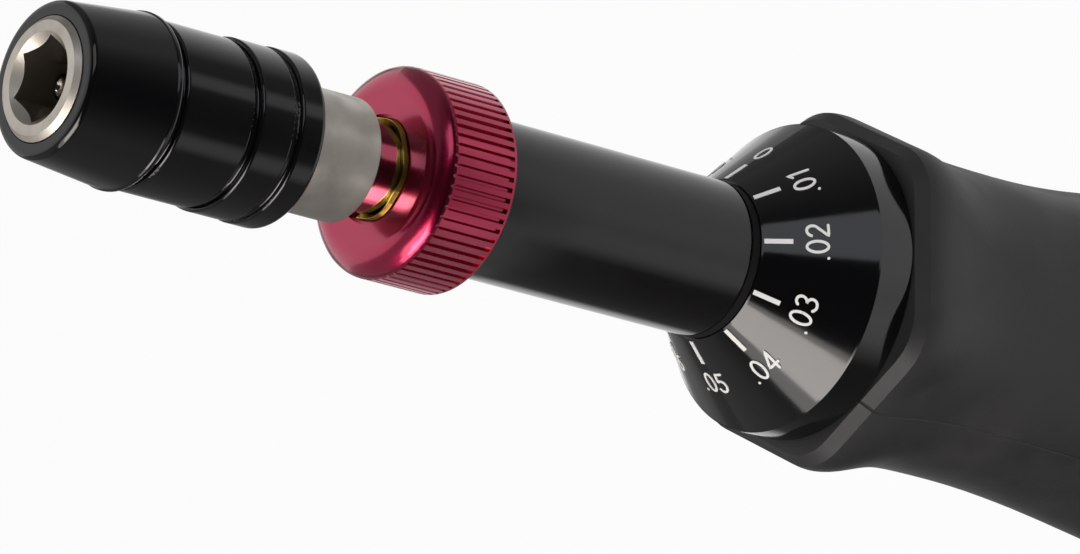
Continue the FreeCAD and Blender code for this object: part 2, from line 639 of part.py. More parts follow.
# --- barrel and drive tube ----------------------------------------------------------------------
def make_barrel():
    """Outer barrel with its spigot, circlip groove, pin slot and setting window."""
    outer = BARREL_D / 2
    spigot = SPIGOT_D / 2
    bore = BARREL_BORE_D / 2
    groove = spigot - CIRCLIP_DEPTH
    edge = BARREL_EDGE_R
    body = turned([
        (bore, SPIGOT_LOW), (spigot, SPIGOT_LOW), (spigot, CIRCLIP_LOW), (groove, CIRCLIP_LOW),
        (groove, CIRCLIP_HIGH), (spigot, CIRCLIP_HIGH), (spigot, SHOULDER), (outer, SHOULDER, edge),
        (outer, BARREL_FRONT - edge), (outer - edge, BARREL_FRONT), (bore, BARREL_FRONT)])
    pin_half = LOCK_PIN_D / 2 + SLOT_GAP
    pin_slot = slot(2 * pin_half, TUBE_INNER_R, outer + 1, LOCK_PIN_Z - RING_TRAVEL - pin_half,
                    LOCK_PIN_Z + pin_half, 90)
    window = slot(WINDOW_WIDTH, TUBE_INNER_R, outer + 1, NUT_TOP - POINTER_LENGTH - 2 * SLOT_GAP,
                  NUT_TOP + NUT_TRAVEL + 2 * SLOT_GAP)
    return body.cut([pin_slot, window])


def make_seal_ring():
    """Thin black ring between the barrel's shoulder and the dial."""
    return tube(BARREL_D / 2, SPIGOT_D / 2, SEAL_LOW, SHOULDER)


def make_barrel_circlip():
    """Circlip that keeps the barrel in the handle, with its gap."""
    ring = tube(CIRCLIP_D / 2, SPIGOT_D / 2 - CIRCLIP_DEPTH, CIRCLIP_LOW, CIRCLIP_HIGH)
    gap = slot(CIRCLIP_GAP, 0, CIRCLIP_D, CIRCLIP_LOW - 1, CIRCLIP_HIGH + 1, -90)
    return ring.cut(gap)


def make_thrust_ring():
    """Washer between the handle's shoulder and the circlip."""
    return tube(WASHER_D / 2, SPIGOT_D / 2 + SLIDE_GAP, WASHER_LOW, CORE_SHOULDER)


def make_drive_tube():
    """Slotted tube from the lock pin to a tapered friction flange inside the handle."""
    outer = TUBE_OUTER_R
    inner = TUBE_INNER_R
    flange = TUBE_FLANGE_D / 2
    body = turned([
        (inner, TUBE_LOW), (flange, TUBE_LOW), (flange, FRICTION_LOW), (taper_top_radius(), TAPER_TOP),
        (outer, TAPER_TOP), (outer, TUBE_FRONT), (inner, TUBE_FRONT)])
    pin_hole = Part.makeCylinder(LOCK_PIN_D / 2, BARREL_D, Vector(0, 0, LOCK_PIN_Z), Vector(0, 1, 0))
    key_slots = [slot(KEY_WIDTH + 2 * SLOT_GAP, inner - 1, outer + 1,
                      PLATE_FACE - KEY_LENGTH - TOOTH_RISE - 2 * SLOT_GAP,
                      PLATE_FACE + RING_TRAVEL + 2 * SLOT_GAP, angle) for angle in KEY_ANGLES]
    pointer_slot = slot(WINDOW_WIDTH, inner - 1, outer + 1, NUT_TOP - POINTER_LENGTH - 2 * SLOT_GAP,
                        NUT_TOP + NUT_TRAVEL + RING_TRAVEL + 2 * SLOT_GAP)
    return body.cut([pin_hole, pointer_slot] + key_slots)


def taper_top_radius():
    """Radius of the friction taper at its small end."""
    return TUBE_OUTER_R + 3 * SLIDE_GAP


def make_friction_ring():
    """Bronze ring in the handle whose taper the drive tube's flange is drawn against."""
    gap = 1.5 * SLIDE_GAP
    small = taper_top_radius() + gap
    large = TUBE_FLANGE_D / 2 + gap
    return turned([
        (large, FRICTION_LOW), (CORE_CAVITY_D / 2, FRICTION_LOW), (CORE_CAVITY_D / 2, FRICTION_TOP),
        (small, FRICTION_TOP), (small, TAPER_TOP)])


# --- clutch plate, nut and main spring ----------------------------------------------------------
def make_pressure_plate():
    """Plate with matching helical ramps and three keys that run in the drive tube's slots."""
    inner = PLATE_BORE_D / 2
    outer = TUBE_INNER_R - SLIDE_GAP
    body = tube(outer, inner, PLATE_LOW, PLATE_FACE)
    teeth = ramp_teeth(inner + TOOTH_INSET, CAM_D / 2 - TOOTH_INSET, PLATE_FACE - TOOTH_ROOT,
                       PLATE_HIGH, PLATE_FACE + TOOTH_FOOT)
    keys = [slot(KEY_WIDTH, inner + 1, TUBE_OUTER_R - KEY_SINK, PLATE_FACE - KEY_LENGTH, PLATE_FACE,
                 angle) for angle in KEY_ANGLES]
    return body.fuse(teeth + keys).removeSplitter()


def make_setting_nut():
    """Nut on the setting screw; its pointer runs in the barrel's window."""
    outer = TUBE_INNER_R - SLIDE_GAP
    body = tube(outer, SCREW_D / 2 + SLIDE_GAP, NUT_TOP - NUT_LENGTH, NUT_TOP)
    pointer = slot(POINTER_WIDTH, outer - 1, BARREL_D / 2 - POINTER_SINK, NUT_TOP - POINTER_LENGTH,
                   NUT_TOP)
    return body.fuse(pointer).removeSplitter()


def make_main_spring():
    """Torque spring between the nut and the pressure plate."""
    mean = TUBE_INNER_R - 6 * SLIDE_GAP - SPRING_WIRE_D / 2
    return coil(mean, SPRING_WIRE_D, NUT_TOP, PLATE_LOW, SPRING_COILS)


def make_setting_screw():
    """Setting screw with its flange seated on the handle core's web."""
    head_low = SCREW_SEAT - SCREW_FLANGE_LENGTH
    shaft = disc(SCREW_D / 2, SCREW_SEAT, SCREW_TOP)
    flange = disc(SCREW_FLANGE_D / 2, head_low, SCREW_SEAT)
    drive = hexagon(SCREW_D / 2 / math.cos(math.radians(30)), head_low, head_low + SCREW_HEX_DEPTH)
    return shaft.fuse(flange).cut(drive).removeSplitter()


def make_screw_retainer():
    """Threaded ring with two spanner slots that clamps the screw's flange."""
    low = SCREW_SEAT - SCREW_FLANGE_LENGTH - RETAINER_LENGTH
    high = low + RETAINER_LENGTH
    ring = tube(CORE_REAR_D / 2, RETAINER_BORE_D / 2, low, high)
    return ring.cut([slot(RETAINER_SLOT_WIDTH, 0, CORE_REAR_D, low, low + RETAINER_SLOT_DEPTH, angle)
                     for angle in (0, 180)])


# --- dial and handle ----------------------------------------------------------------------------
def make_dial():
    """Cone and rim turned in one piece; the scale is marked on the cone."""
    small = CONE_SMALL_D / 2
    rim = RIM_D / 2
    bore = DIAL_BORE_D / 2
    front_bore = SPIGOT_D / 2 + 2 * SLIDE_GAP
    edge = RIM_EDGE
    return turned([
        (bore, GRIP_TOP), (rim - edge, GRIP_TOP), (rim, GRIP_TOP + edge), (rim, RIM_TOP - edge),
        (rim - edge, RIM_TOP), (small, CONE_TOP - edge), (small - edge, CONE_TOP),
        (front_bore, CONE_TOP), (front_bore, SPIGOT_TOP), (bore, SPIGOT_TOP)])


def make_handle_core():
    """Core that carries the dial, the barrel's journal, the screw's web and the grip."""
    outer = CORE_D / 2
    front = DIAL_BORE_D / 2
    journal = SPIGOT_D / 2 + SLIDE_GAP
    cavity = CORE_CAVITY_D / 2
    rear = CORE_REAR_D / 2
    screw_bore = SCREW_D / 2 + 2 * SLIDE_GAP
    web_top = SCREW_SEAT + CORE_SEAT_WEB
    return turned([
        (journal, SPIGOT_TOP), (front, SPIGOT_TOP), (front, GRIP_TOP), (outer, GRIP_TOP),
        (outer, CAP_FLANGE), (rear, CAP_FLANGE), (rear, SCREW_SEAT), (screw_bore, SCREW_SEAT),
        (screw_bore, web_top), (cavity, web_top), (cavity, CORE_SHOULDER), (journal, CORE_SHOULDER)])


def grip_stations():
    """Every section of the grip behind its bevel: (height, inradius, corner radius)."""
    neck = [(GRIP_TOP - distance, a, r) for distance, a, r in GRIP_NECK]
    swell_top = neck[-1][0]
    swell = [(swell_top * (1 - share), a, r) for share, a, r in GRIP_SWELL]
    return neck + swell + GRIP_BUTT


def make_grip():
    """Six-sided rubber grip with a bevelled front collar, a waist and a full palm swell."""
    stations = grip_stations()
    face = rounded_hexagon(GRIP_TOP, GRIP_FACE[0], GRIP_FACE[1], GRIP_CORNER_TURN)
    sections = [rounded_hexagon(z, a, r, GRIP_CORNER_TURN) for z, a, r in stations]
    bevel = Part.makeLoft([face, sections[0]], True, True)
    palm = Part.makeLoft(sections, True, False)
    return bevel.fuse(palm).cut(disc(CORE_D / 2, -1, GRIP_TOP + 1))


def make_end_cap():
    """Flat plug that closes the butt."""
    flange = disc(CORE_D / 2, 0, CAP_FLANGE)
    plug = tube(CORE_REAR_D / 2, CORE_REAR_D / 2 - CAP_PLUG_WALL, CAP_FLANGE, CAP_FLANGE + CAP_PLUG)
    dish = disc(CAP_DISH_D / 2, 0, CAP_DISH_DEPTH)
    return flange.fuse(plug).cut(dish).removeSplitter()


PIECES = {
    "spindle": make_spindle,
    "bit_magnet": make_bit_magnet,
    "drive_cam": make_drive_cam,
    "cam_pin": make_cam_pin,
    "thrust_washer": make_thrust_washer,
    "chuck_sleeve": make_chuck_sleeve,
    "sleeve_cap": make_sleeve_cap,
    "sleeve_spring": make_sleeve_spring,
    "detent_ball": make_detent_ball,
    "front_hub": make_front_hub,
    "snap_ring": make_snap_ring,
    "lock_ring": make_lock_ring,
    "lock_pin": make_lock_pin,
    "lock_spring": make_lock_spring,
    "barrel": make_barrel,
    "seal_ring": make_seal_ring,
    "barrel_circlip": make_barrel_circlip,
    "thrust_ring": make_thrust_ring,
    "drive_tube": make_drive_tube,
    "friction_ring": make_friction_ring,
    "pressure_plate": make_pressure_plate,
    "setting_nut": make_setting_nut,
    "main_spring": make_main_spring,
    "setting_screw": make_setting_screw,
    "screw_retainer": make_screw_retainer,
    "dial": make_dial,
    "handle_core": make_handle_core,
    "grip": make_grip,
    "end_cap": make_end_cap,
}


def main():
    """Build every piece and write one STEP file for each."""
    os.makedirs("parts", exist_ok=True)
    for name, make in PIECES.items():
        shape = make()
        if not shape.isValid():
            print("not valid:", name)
        print(f"{name:16s} solids {len(shape.Solids)} volume {shape.Volume:10.2f}")
        shape.exportStep(f"parts/{name}.step")


main()
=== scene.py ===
"""Studio picture of an adjustable torque screwdriver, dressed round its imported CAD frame.

The tool stands on its butt with +Z towards the bit socket.  The CAD nodes keep their shapes and get
their finishes here; the engraved scales and other fine pieces are built as meshes that ride on them.
"""
from __future__ import annotations

import logging
import math
from collections.abc import Callable, Sequence
from dataclasses import dataclass, field
from enum import Enum

import bmesh
import bpy
from mathutils import Matrix, Vector


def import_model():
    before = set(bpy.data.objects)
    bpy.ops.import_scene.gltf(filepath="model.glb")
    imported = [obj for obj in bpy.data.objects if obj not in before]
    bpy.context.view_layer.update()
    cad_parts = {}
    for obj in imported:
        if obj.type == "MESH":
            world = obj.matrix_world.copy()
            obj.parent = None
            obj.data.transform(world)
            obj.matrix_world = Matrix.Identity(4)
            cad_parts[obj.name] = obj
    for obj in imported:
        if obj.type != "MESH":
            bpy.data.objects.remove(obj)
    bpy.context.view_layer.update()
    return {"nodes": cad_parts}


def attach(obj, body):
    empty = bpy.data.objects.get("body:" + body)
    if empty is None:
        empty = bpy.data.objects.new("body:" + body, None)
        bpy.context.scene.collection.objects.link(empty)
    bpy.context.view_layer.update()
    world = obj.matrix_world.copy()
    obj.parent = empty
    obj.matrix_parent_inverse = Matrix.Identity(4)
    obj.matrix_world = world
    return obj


MM = 0.001
LOG = logging.getLogger("torque_screwdriver")

# A noise pattern seldom leaves this part of its range of zero to one.
NOISE_LOW = 0.3
NOISE_HIGH = 0.7

# Sockets of a Mix node that are used when it mixes colours.
MIX_SHARE = 0
MIX_FIRST = 6
MIX_SECOND = 7
MIX_COLOUR_OUT = 2

Point = tuple[float, float]


# --- colour and node helpers --------------------------------------------------------------------
def linear(hex_colour: str) -> tuple[float, float, float, float]:
    """Turn an sRGB hex colour into the linear colour that shaders use.

    Args:
        hex_colour: colour as "#RRGGBB".

    Returns:
        Linear red, green, blue and an alpha of one.
    """
    values = [int(hex_colour[i:i + 2], 16) / 255 for i in (1, 3, 5)]
    red, green, blue = (v / 12.92 if v <= 0.04045 else ((v + 0.055) / 1.055) ** 2.4 for v in values)
    return red, green, blue, 1.0


def add_node(tree: bpy.types.NodeTree, kind: str, settings: dict | None = None,
             links: dict | None = None) -> bpy.types.Node:
    """Add one shader node with its settings and incoming links.

    Args:
        tree: node tree that gets the node.
        kind: Blender's identifier of the node.
        settings: values by input name or index, or by attribute name.
        links: sockets by the name or index of the input that they feed.

    Returns:
        The new node.
    """
    node = tree.nodes.new(kind)
    for key, value in (settings or {}).items():
        if isinstance(key, int) or key in node.inputs:
            node.inputs[key].default_value = value
        else:
            setattr(node, key, value)
    for key, socket in (links or {}).items():
        tree.links.new(socket, node.inputs[key])
    return node


# --- finishes -----------------------------------------------------------------------------------
@dataclass(frozen=True)
class Finish:
    """What every finish has: its name, its colour and how it takes light.

    A metal keeps the shader's default IOR; the other finishes set their own.
    """

    name: str
    colour: str
    roughness: float
    metallic: float = 0.0
    ior: float = 1.5

    def material(self) -> bpy.types.Material:
        """Build the material once and return it after that.

        Returns:
            The Blender material of this finish.
        """
        known = bpy.data.materials.get(self.name)
        if known is not None:
            return known
        made = bpy.data.materials.new(self.name)
        made.use_nodes = True
        shader = made.node_tree.nodes["Principled BSDF"]
        shader.inputs["Base Color"].default_value = linear(self.colour)
        shader.inputs["Roughness"].default_value = self.roughness
        shader.inputs["Metallic"].default_value = self.metallic
        shader.inputs["IOR"].default_value = self.ior
        self.pattern(made.node_tree, shader)
        return made

    def pattern(self, tree: bpy.types.NodeTree, shader: bpy.types.Node) -> None:
        """Add the finish's own pattern; each kind of finish has one."""
        raise NotImplementedError

    def place(self, tree: bpy.types.NodeTree) -> bpy.types.NodeSocket:
        """Return the object coordinates, which are metres in the part's frame."""
        return add_node(tree, "ShaderNodeTexCoord").outputs["Object"]

    def spread(self, tree: bpy.types.NodeTree, value: bpy.types.NodeSocket, low: float,
               high: float) -> bpy.types.NodeSocket:
        """Map a pattern of zero to one onto a range.

        Args:
            tree: node tree to work in.
            value: socket with the pattern.
            low: result where the pattern is lowest.
            high: result where the pattern is highest.

        Returns:
            Socket with the mapped value.
        """
        return add_node(tree, "ShaderNodeMapRange",
                        {"From Min": NOISE_LOW, "From Max": NOISE_HIGH, "To Min": low, "To Max": high},
                        {"Value": value}).outputs["Result"]

    def noise(self, tree: bpy.types.NodeTree, place: bpy.types.NodeSocket, grain_mm: float,
              detail: float) -> bpy.types.NodeSocket:
        """Add a noise pattern of a real size.

        Args:
            tree: node tree to work in.
            place: socket with the coordinates, in metres.
            grain_mm: size of one spot of the pattern.
            detail: number of finer layers on top of it.

        Returns:
            Socket with the pattern, zero to one.
        """
        return add_node(tree, "ShaderNodeTexNoise", {"Scale": 1 / (grain_mm * MM), "Detail": detail},
                        {"Vector": place}).outputs["Fac"]

    def squeezed(self, tree: bpy.types.NodeTree, place: bpy.types.NodeSocket,
                 across: float) -> bpy.types.NodeSocket:
        """Return coordinates that change slowly across the axis, so that a pattern runs round it.

        Args:
            tree: node tree to work in.
            place: socket with the coordinates.
            across: factor on X and Y.

        Returns:
            Socket with the squeezed coordinates.
        """
        return add_node(tree, "ShaderNodeMapping", {"Scale": (across, across, 1.0)},
                        {"Vector": place}).outputs["Vector"]

    def relief(self, tree: bpy.types.NodeTree, shader: bpy.types.Node, height: bpy.types.NodeSocket,
               depth_m: float) -> None:
        """Let a pattern stand in relief.

        Args:
            tree: node tree to work in.
            shader: shader that shows the relief.
            height: socket with the pattern.
            depth_m: height in metres of a pattern value of one.
        """
        bump = add_node(tree, "ShaderNodeBump", {"Strength": 1.0, "Distance": depth_m},
                        {"Height": height})
        tree.links.new(bump.outputs["Normal"], shader.inputs["Normal"])

    def tint(self, tree: bpy.types.NodeTree, shader: bpy.types.Node, second: str,
             share: bpy.types.NodeSocket) -> None:
        """Mix a second colour into the finish's own.

        Args:
            tree: node tree to work in.
            shader: shader that gets the mixed colour.
            second: the other colour, as "#RRGGBB".
            share: socket with the share of the other colour.
        """
        mix = add_node(tree, "ShaderNodeMix", {"data_type": "RGBA", MIX_FIRST: linear(self.colour),
                                               MIX_SECOND: linear(second)}, {MIX_SHARE: share})
        tree.links.new(mix.outputs[MIX_COLOUR_OUT], shader.inputs["Base Color"])


@dataclass(frozen=True)
class AnodisedAluminium(Finish):
    """Turned aluminium with a dyed and sealed oxide layer.

    The layer gives a deep colour under a clean, glassy reflection; the turning under it shows as
    very fine rings, and handling leaves faint patches of softer gloss.
    """

    ring_mm: float = 0.18        # real turning marks are finer; this pitch is what still shows
    ring_depth_mm: float = 0.0006
    patch_mm: float = 5.0
    patch_spread: float = 0.25
    ring_squeeze: float = 0.02
    clear_layer: float = 0.0     # share of a clear, glassy layer over a dyed metal
    clear_roughness: float = 0.12

    def pattern(self, tree: bpy.types.NodeTree, shader: bpy.types.Node) -> None:
        """Add the clear layer, turning rings and patches of softer gloss."""
        shader.inputs["Coat Weight"].default_value = self.clear_layer
        shader.inputs["Coat Roughness"].default_value = self.clear_roughness
        place = self.place(tree)
        patches = self.noise(tree, place, self.patch_mm, 4.0)
        low = self.roughness * (1 - self.patch_spread)
        high = self.roughness * (1 + self.patch_spread)
        tree.links.new(self.spread(tree, patches, low, high), shader.inputs["Roughness"])
        rings = self.noise(tree, self.squeezed(tree, place, self.ring_squeeze), self.ring_mm, 2.0)
        self.relief(tree, shader, rings, self.ring_depth_mm * MM)


@dataclass(frozen=True)
class TurnedMetal(Finish):
    """Bare metal turned or ground round its axis.

    The tool marks run round the part, so a light smears into a streak across them.
    """

    mark_mm: float = 0.12
    mark_depth_mm: float = 0.0015
    anisotropy: float = 0.6
    stain: str = "#8E877D"
    stain_mm: float = 3.0
    mark_squeeze: float = 0.05
    stain_share: float = 0.45             # share of the stain's colour at its darkest
    worn: tuple[float, float] = (0.85, 1.2)  # factors on the roughness, bright to stained

    def pattern(self, tree: bpy.types.NodeTree, shader: bpy.types.Node) -> None:
        """Add tool marks round the axis and faint stains."""
        shader.inputs["Anisotropic"].default_value = self.anisotropy
        place = self.place(tree)
        marks = self.noise(tree, self.squeezed(tree, place, self.mark_squeeze), self.mark_mm, 3.0)
        self.relief(tree, shader, marks, self.mark_depth_mm * MM)
        tangent = add_node(tree, "ShaderNodeTangent", {"direction_type": "RADIAL", "axis": "Z"})
        tree.links.new(tangent.outputs["Tangent"], shader.inputs["Tangent"])
        stains = self.noise(tree, place, self.stain_mm, 5.0)
        self.tint(tree, shader, self.stain, self.spread(tree, stains, 0.0, self.stain_share))
        worn = self.spread(tree, stains, self.roughness * self.worn[0], self.roughness * self.worn[1])
        tree.links.new(worn, shader.inputs["Roughness"])


@dataclass(frozen=True)
class DrawnWire(Finish):
    """Wire drawn through a die: bright, with faint scratches and a little tarnish."""

    tarnish: str = "#7A5B22"
    scratch_mm: float = 0.1
    scratch_depth_mm: float = 0.003
    tarnish_mm: float = 1.2
    tarnish_share: float = 0.7   # share of the tarnish's colour at its darkest

    def pattern(self, tree: bpy.types.NodeTree, shader: bpy.types.Node) -> None:
        """Add scratches and patches of tarnish."""
        place = self.place(tree)
        scratches = self.noise(tree, place, self.scratch_mm, 3.0)
        self.relief(tree, shader, scratches, self.scratch_depth_mm * MM)
        patches = self.noise(tree, place, self.tarnish_mm, 4.0)
        self.tint(tree, shader, self.tarnish, self.spread(tree, patches, 0.0, self.tarnish_share))


@dataclass(frozen=True)
class MouldedRubber(Finish):
    """Thermoplastic rubber from a textured mould: dull, with a fine grain and handling marks."""

    grain_mm: float = 0.22
    grain_depth_mm: float = 0.02
    scuff: str = "#3B3A3A"
    scuff_mm: float = 9.0
    seam_azimuth: float | None = None
    seam_mm: float = 0.16
    seam_depth_mm: float = 0.12
    scuff_share: float = 0.8             # share of the scuffs' colour where they are strongest
    dull: tuple[float, float] = (0.9, 1.15)  # factors on the roughness, clean to scuffed

    def pattern(self, tree: bpy.types.NodeTree, shader: bpy.types.Node) -> None:
        """Add the mould's grain, scuffs and, where it has one, the seam of the two mould halves."""
        place = self.place(tree)
        grain = self.noise(tree, place, self.grain_mm, 2.0)
        height = add_node(tree, "ShaderNodeMath", {"operation": "MULTIPLY", 1: self.grain_depth_mm * MM},
                          {0: grain}).outputs[0]
        if self.seam_azimuth is not None:
            height = add_node(tree, "ShaderNodeMath", {"operation": "SUBTRACT"},
                              {0: height, 1: self.seam(tree, place)}).outputs[0]
        self.relief(tree, shader, height, 1.0)
        scuffs = add_node(tree, "ShaderNodeTexNoise",
                          {"Scale": 1 / (self.scuff_mm * MM), "Detail": 6.0, "Roughness": 0.6},
                          {"Vector": place}).outputs["Fac"]
        self.tint(tree, shader, self.scuff, self.spread(tree, scuffs, 0.0, self.scuff_share))
        dull = self.spread(tree, scuffs, self.roughness * self.dull[0], self.roughness * self.dull[1])
        tree.links.new(dull, shader.inputs["Roughness"])

    def seam(self, tree: bpy.types.NodeTree, place: bpy.types.NodeSocket) -> bpy.types.NodeSocket:
        """Draw the seam, a thin line in a plane through the axis.

        Args:
            tree: node tree to work in.
            place: socket with the object coordinates.

        Returns:
            Socket with the seam's depth in metres.
        """
        angle = math.radians(self.seam_azimuth)
        across = add_node(tree, "ShaderNodeVectorMath",
                          {"operation": "DOT_PRODUCT", 1: (-math.sin(angle), math.cos(angle), 0.0)},
                          {0: place})
        distance = add_node(tree, "ShaderNodeMath", {"operation": "ABSOLUTE"},
                            {0: across.outputs["Value"]})
        return add_node(tree, "ShaderNodeMapRange", {"From Min": 0.0, "From Max": self.seam_mm * MM,
                        "To Min": self.seam_depth_mm * MM, "To Max": 0.0},
                        {"Value": distance.outputs[0]}).outputs["Result"]


@dataclass(frozen=True)
class EngravingPaint(Finish):
    """White enamel wiped into an engraved mark: flat, with slightly uneven cover."""

    grain_mm: float = 0.25
    cover_spread: float = 0.2

    def pattern(self, tree: bpy.types.NodeTree, shader: bpy.types.Node) -> None:
        """Add the uneven cover."""
        cover = self.noise(tree, self.place(tree), self.grain_mm, 3.0)
        low = self.roughness * (1 - self.cover_spread)
        high = self.roughness * (1 + self.cover_spread)
        tree.links.new(self.spread(tree, cover, low, high), shader.inputs["Roughness"])


# Bright nickel-plated steel, ground round: a warm light grey with a long soft streak.
NICKEL_STEEL = TurnedMetal("nickel_plated_steel_ground", "#D0C9C0", 0.36, 1.0)
# Black anodised aluminium, polished first: deep black under a sharp reflection.
GLOSS_BLACK = AnodisedAluminium("black_anodised_aluminium_polished", "#08080A", 0.10, 0.0, 1.55)
# Black anodised aluminium, bead-blasted lightly first: the reflection spreads to a grey sheen.
SATIN_BLACK = AnodisedAluminium("black_anodised_aluminium_satin", "#0E0C0D", 0.11, 0.0, 1.45)
# Red anodised aluminium: clear metal seen through a crimson layer.
RED_ANODISED = AnodisedAluminium("red_anodised_aluminium_bright", "#B5164A", 0.24, 1.0,
                                 clear_layer=1.0)
# Polished steel: a mirror that takes the colour of what is beside it.
POLISHED_STEEL = TurnedMetal("bearing_steel_polished", "#D6D3CE", 0.09, 1.0, anisotropy=0.2)
# Hardened steel, ground: darker and duller than the plated parts.
HARDENED_STEEL = TurnedMetal("tool_steel_hardened_ground", "#8F8B86", 0.35, 1.0)
# Sintered bronze: a brown metal with an oily, open grain.
BEARING_BRONZE = DrawnWire("bearing_bronze_sintered", "#B98B4E", 0.4, 1.0, tarnish="#6E4E2A")
# Brass wire, drawn: bright yellow with a green-brown tarnish in places.
BRASS_WIRE = DrawnWire("brass_wire_drawn", "#D9B45A", 0.22, 1.0)
# Spring wire, drawn and oiled: a blue-grey metal.
SPRING_WIRE = DrawnWire("spring_steel_wire_oiled", "#8C8E92", 0.3, 1.0, tarnish="#5A5654")
# Nickel-plated magnet: bright and a little soft at its edges.
MAGNET_NICKEL = TurnedMetal("magnet_nickel_plated", "#B9B5AE", 0.2, 1.0, anisotropy=0.0)
# Rubber grip, moulded over the core in two halves: charcoal and dull.
GRIP_RUBBER = MouldedRubber("thermoplastic_rubber_moulded", "#1C1C1E", 0.55, 0.0, 1.5,
                            scuff="#2C2B2B", seam_azimuth=48.0)
# Seal of nitrile rubber: black and nearly dull.
SEAL_RUBBER = MouldedRubber("nitrile_rubber_moulded", "#060606", 0.75, 0.0, 1.4, scuff="#0A0A0A")
# Glass-filled nylon, moulded: black with a faint dry grain.
CORE_NYLON = MouldedRubber("glass_filled_nylon_moulded", "#19191A", 0.5, 0.0, 1.53, scuff="#242424")
# White enamel in the engraved scales.
WHITE_ENAMEL = EngravingPaint("white_enamel_wiped", "#E9E8E6", 0.55, 0.0, 1.5)


# --- shaping helpers ----------------------------------------------------------------------------
def mesh_object(name: str, mesh: bpy.types.Mesh, finish: Finish) -> bpy.types.Object:
    """Link a mesh to the scene as an object with one finish.

    Args:
        name: name of the piece.
        mesh: its mesh, in metres in the part's frame.
        finish: finish for the whole piece.

    Returns:
        The new object.
    """
    piece = bpy.data.objects.new(name, mesh)
    bpy.context.scene.collection.objects.link(piece)
    mesh.materials.clear()
    mesh.materials.append(finish.material())
    return piece


def on_axis(radius: float, azimuth: float, height: float) -> Vector:
    """Return a point by its place round the tool's axis.

    Args:
        radius: distance from the axis in metres.
        azimuth: angle from +X in radians.
        height: height above the butt in metres.

    Returns:
        The point.
    """
    return Vector((radius * math.cos(azimuth), radius * math.sin(azimuth), height))


def arc(centre: Point, reach: Point, start: float, end: float, steps: int = 20) -> list[Point]:
    """Return points along part of an ellipse.

    Args:
        centre: its centre.
        reach: its half width and half height.
        start: angle of the first point in degrees.
        end: angle of the last point in degrees.
        steps: number of parts that the arc is cut into.

    Returns:
        The points from start to end.
    """
    angles = [math.radians(start + (end - start) * i / steps) for i in range(steps + 1)]
    return [(centre[0] + reach[0] * math.cos(a), centre[1] + reach[1] * math.sin(a)) for a in angles]


# Centre lines of plain engraver's numerals, in shares of their height.
STROKES = {
    ".": [[(0.07, 0.03), (0.07, 0.04)]],
    "0": [arc((0.28, 0.5), (0.23, 0.44), 0, 360)],
    "1": [[(0.14, 0.80), (0.30, 0.94), (0.30, 0.06)]],
    "2": [arc((0.27, 0.69), (0.22, 0.25), 165, -35) + [(0.06, 0.06), (0.52, 0.06)]],
    "3": [arc((0.25, 0.72), (0.20, 0.22), 150, -90) + arc((0.25, 0.28), (0.24, 0.22), 90, -150)],
    "4": [[(0.56, 0.28), (0.04, 0.28), (0.40, 0.94), (0.40, 0.06)]],
    "5": [[(0.48, 0.94), (0.14, 0.94), (0.10, 0.56)] + arc((0.25, 0.33), (0.24, 0.27), 125, -150)],
    "6": [arc((0.52, 0.34), (0.46, 0.62), 112, 180) + arc((0.29, 0.30), (0.23, 0.24), 180, 540)],
    "7": [[(0.05, 0.94), (0.52, 0.94), (0.20, 0.06)]],
    "8": [arc((0.28, 0.73), (0.19, 0.21), -90, 270), arc((0.28, 0.29), (0.23, 0.23), 90, 450)],
    "9": [arc((0.04, 0.66), (0.46, 0.62), -68, 0) + arc((0.27, 0.70), (0.23, 0.24), 0, 360)],
}
POINT_ADVANCE = 0.27         # from the point to the next digit, in shares of the height
DIGIT_ADVANCE = 0.68
DIGIT_WIDTH = 0.56
STROKE_WIDTH = 0.115
LONGEST_STEP = 0.12          # longest piece of a stroke, so that it bends round a curve
END_TURNS = (28, 55, 80)     # degrees round the cutter's rounded end


def advance(mark: str) -> float:
    """Return the distance from one mark of a number to the next, in shares of the height."""
    return POINT_ADVANCE if mark == "." else DIGIT_ADVANCE


def short_steps(points: Sequence[Point], longest: float) -> list[Point]:
    """Cut a line into short steps.

    Args:
        points: corners of the line.
        longest: longest step that may stay.

    Returns:
        The same line with more points on it.
    """
    result = [points[0]]
    for (x0, y0), (x1, y1) in zip(points, points[1:]):
        parts = max(1, math.ceil(math.hypot(x1 - x0, y1 - y0) / longest))
        result += [(x0 + (x1 - x0) * i / parts, y0 + (y1 - y0) * i / parts)
                   for i in range(1, parts + 1)]
    return result


def stroke_corners(points: Sequence[Point], half: float) -> list[tuple[Vector, Vector]]:
    """Return the left and right edge of a line drawn with a round cutter.

    Args:
        points: centre line of the stroke.
        half: half the width of the cut.

    Returns:
        Pairs of edge points, with the rounded ends included.
    """
    line = [Vector((x, y, 0.0)) for x, y in points]

    def pair(point: Vector, along: Vector, turn: float) -> tuple[Vector, Vector]:
        """Return the two edge points at an angle round the cutter, positive ahead of its centre."""
        across = Vector((-along.y, along.x, 0.0))
        middle = point + along * half * math.sin(math.radians(turn))
        reach = across * half * math.cos(math.radians(turn))
        return middle + reach, middle - reach

    pairs = []
    for i, point in enumerate(line):
        along = (line[min(i + 1, len(line) - 1)] - line[max(i - 1, 0)]).normalized()
        if i == 0:
            pairs += [pair(point, along, -turn) for turn in reversed(END_TURNS)]
        pairs.append(pair(point, along, 0.0))
        if i == len(line) - 1:
            pairs += [pair(point, along, turn) for turn in END_TURNS]
    return pairs


